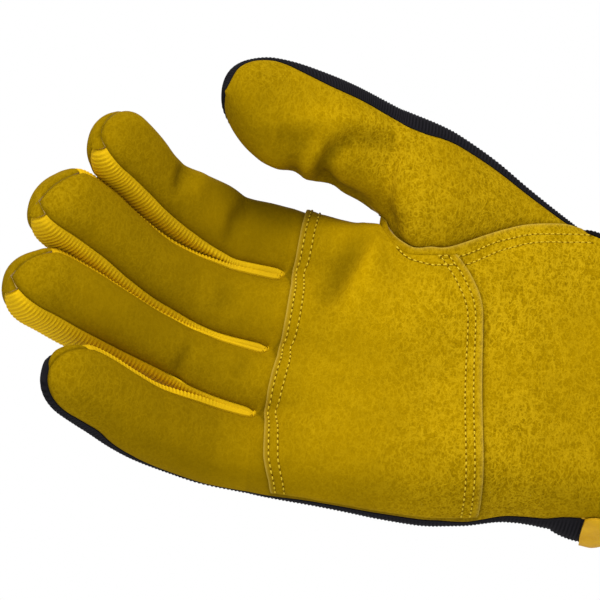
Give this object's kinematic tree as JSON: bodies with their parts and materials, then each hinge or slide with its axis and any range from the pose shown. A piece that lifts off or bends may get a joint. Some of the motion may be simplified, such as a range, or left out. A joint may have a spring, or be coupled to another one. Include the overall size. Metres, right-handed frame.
{
  "type": "right-hand leather work glove",
  "caption": "Right-hand work glove in its worn form, with a mustard suede palm and thumb, a black ribbed knit back, yellow ribbed finger sides and a leather wrist strap.",
  "frame": {"origin": "centre of the wrist opening", "axes": "+X out of the wrist opening, so the fingers point to -X; -Y the way the palm faces; +Z to the thumb side"},
  "size_m": [0.2543, 0.0751, 0.148],
  "materials": {
    "palm_suede": "matte",
    "patch_suede": "matte",
    "strap_leather": "satin",
    "side_ribbing": "matte",
    "black_knit": "matte"
  },
  "bodies": {
    "root": {"palm_leather": "palm_suede", "palm_patch": "patch_suede", "thumb_leather": "palm_suede", "hand_back": "black_knit", "thumb_back": "black_knit", "side_strip_ring_pinky": "side_ribbing", "side_strip_middle_ring": "side_ribbing", "side_strip_index_middle": "side_ribbing", "tip_cap_index": "patch_suede", "tip_cap_middle": "patch_suede", "tip_cap_ring": "patch_suede", "wrist_strap": "strap_leather", "strap_binding": "strap_leather"}
  },
  "joints": []
}
